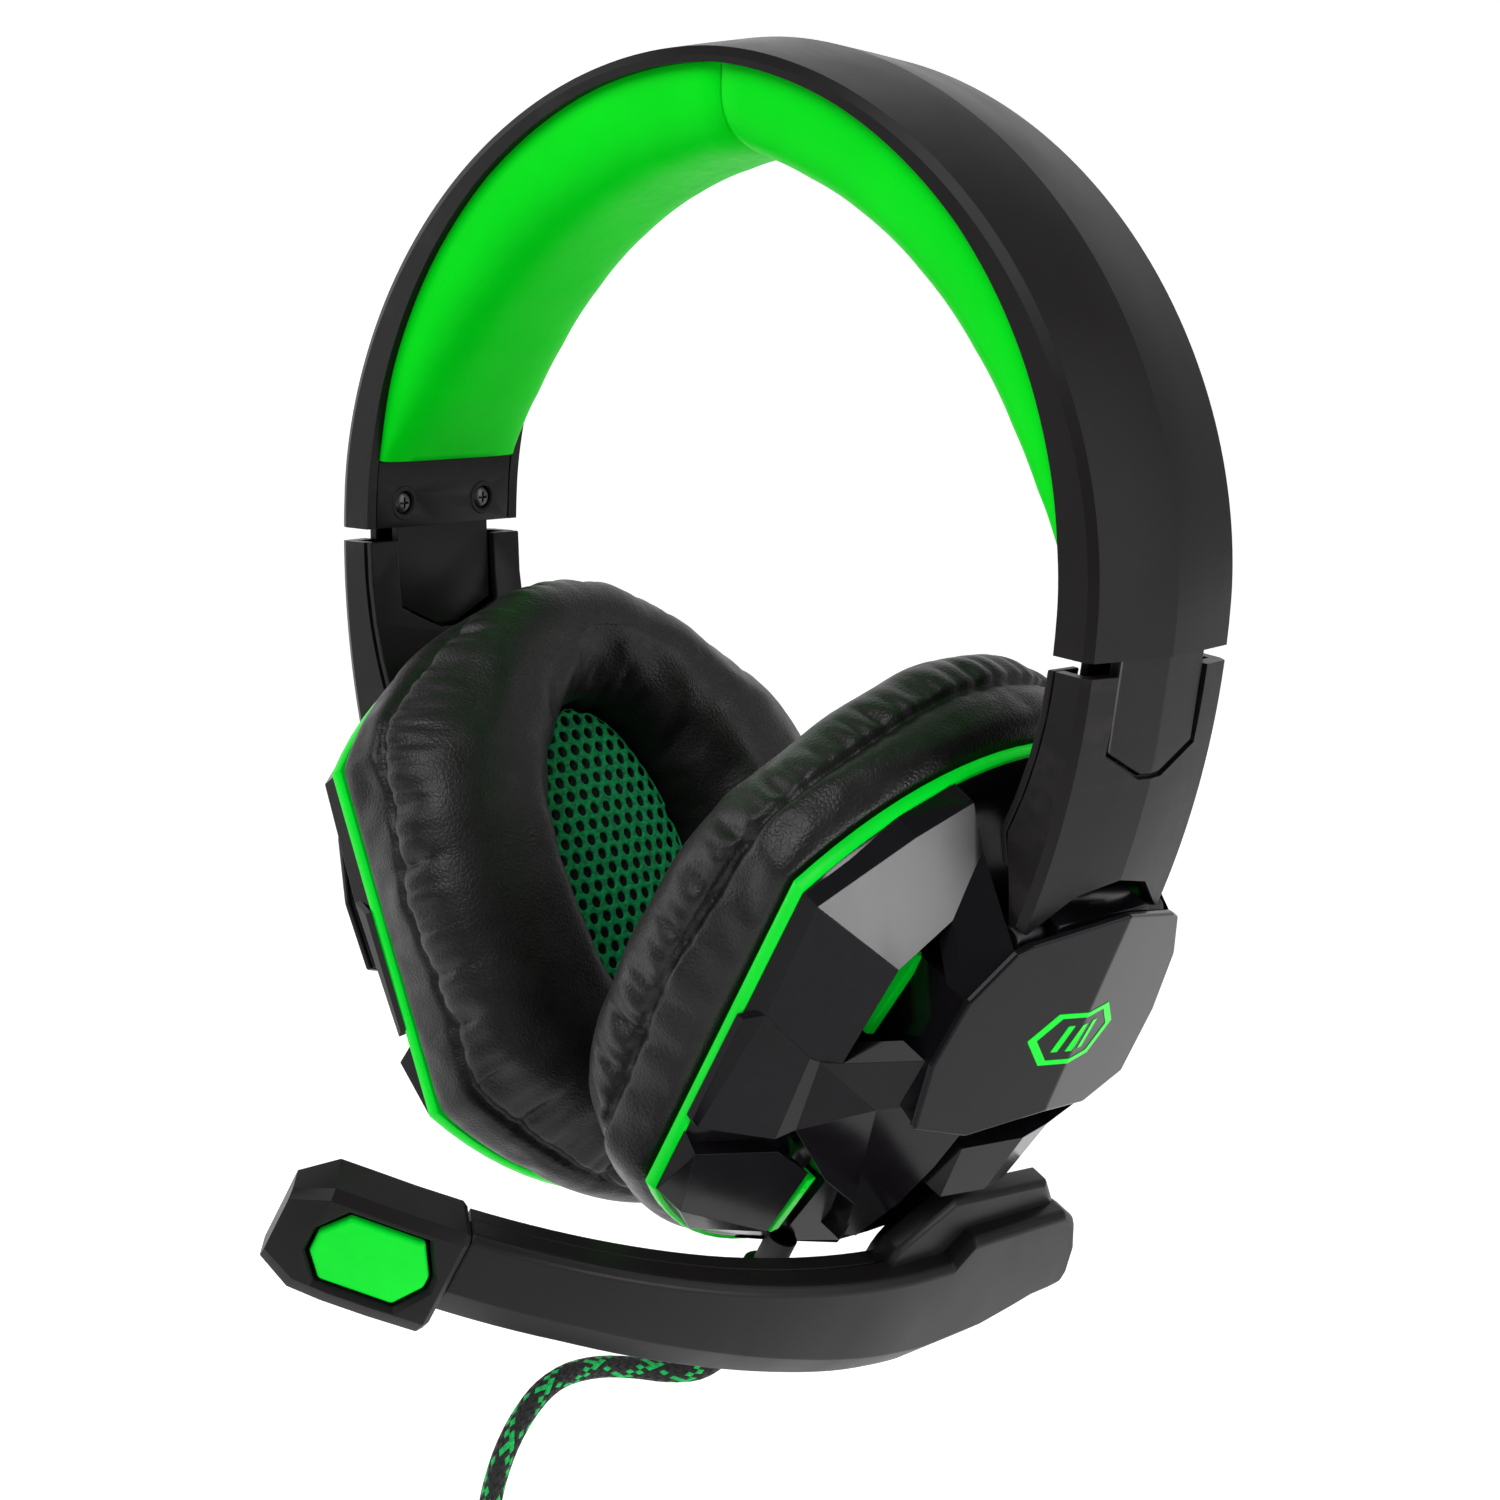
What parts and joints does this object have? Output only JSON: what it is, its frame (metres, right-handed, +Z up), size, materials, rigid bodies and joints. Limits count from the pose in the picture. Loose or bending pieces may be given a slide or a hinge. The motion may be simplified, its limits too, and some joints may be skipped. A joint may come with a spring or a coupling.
{
  "type": "gaming headset",
  "caption": "Over-ear wired headset with a padded headband, tilting cups on size-adjusting arms, light rings and a swinging microphone boom.",
  "frame": {"origin": "the crown rest, where the underside of the head pad lies on the top of the wearer's head", "axes": "+Z up; +X towards the wearer's left ear, the side with the microphone; -Y towards the wearer's face"},
  "size_m": [0.1798, 0.1685, 0.3918],
  "materials": {
    "shell_black": "satin",
    "gloss_black": "gloss",
    "boom_black": "fine texture",
    "green_vinyl": "smooth vinyl",
    "green_light": "translucent diffuser",
    "green_mesh": "open air mesh",
    "dark_foam": "foam",
    "leatherette": "soft leatherette",
    "rubber_black": "matt",
    "lead_braid": "braided sleeve",
    "spring_steel": "brushed",
    "screw_steel": "dark zinc",
    "plug_metal": "gold plated",
    "driver_metal": "satin",
    "board_green": "solder mask"
  },
  "bodies": {
    "headband": {"headband_shell": "shell_black", "spring_strip": "spring_steel", "strap_inner_plate_left": "shell_black", "plate_screw_front_left": "screw_steel", "plate_screw_rear_left": "screw_steel", "head_pad_left": "green_vinyl", "strap_inner_plate_right": "shell_black", "plate_screw_front_right": "screw_steel", "plate_screw_rear_right": "screw_steel", "head_pad_right": "green_vinyl"},
    "slider_left": {"arm_outer_cover_left": "shell_black", "arm_inner_cover_left": "shell_black", "size_strip_left": "spring_steel", "hinge_pin_left": "spring_steel"},
    "cup_left": {"cup_shell_left": "gloss_black", "keel_plate_left": "gloss_black", "light_ring_left": "green_light", "window_insert_left": "green_light", "baffle_left": "shell_black", "speaker_left": "driver_metal", "circuit_board_left": "board_green", "ear_cushion_left": "leatherette", "ear_mesh_left": "green_mesh", "ear_foam_left": "dark_foam", "boom_hub": "boom_black", "boom_axle": "spring_steel", "strain_relief": "rubber_black", "lead": "lead_braid", "lead_coil": "lead_braid", "lead_tie": "rubber_black", "lead_tail": "lead_braid", "plug_body": "rubber_black", "plug_pin": "plug_metal"},
    "slider_right": {"arm_outer_cover_right": "shell_black", "arm_inner_cover_right": "shell_black", "size_strip_right": "spring_steel", "hinge_pin_right": "spring_steel"},
    "cup_right": {"cup_shell_right": "gloss_black", "keel_plate_right": "gloss_black", "light_ring_right": "green_light", "window_insert_right": "green_light", "baffle_right": "shell_black", "speaker_right": "driver_metal", "circuit_board_right": "board_green", "ear_cushion_right": "leatherette", "ear_mesh_right": "green_mesh", "ear_foam_right": "dark_foam"},
    "boom": {"boom_outer_shell": "boom_black", "boom_inner_shell": "boom_black", "microphone_head": "boom_black", "microphone_window": "green_light", "microphone_capsule": "driver_metal"}
  },
  "joints": [
    {"name": "size_left", "type": "slide", "parent": "headband", "child": "slider_left", "axis": [-0.0344, 0, -0.9994], "range_m": [0, 0.02]},
    {"name": "cup_tilt_left", "type": "hinge", "parent": "slider_left", "child": "cup_left", "pos_m": [0.0755, 0, -0.1235], "axis": [0, -1, 0], "range_deg": [0, 30]},
    {"name": "size_right", "type": "slide", "parent": "headband", "child": "slider_right", "axis": [0.0344, 0, -0.9994], "range_m": [0, 0.02]},
    {"name": "cup_tilt_right", "type": "hinge", "parent": "slider_right", "child": "cup_right", "pos_m": [-0.0755, 0, -0.1235], "axis": [0, 1, 0], "range_deg": [0, 30]},
    {"name": "boom_swing", "type": "hinge", "parent": "cup_left", "child": "boom", "pos_m": [0.0411, 0.012, -0.19752], "axis": [0.8957, 0, -0.4446], "range_deg": [-8, 30]}
  ]
}
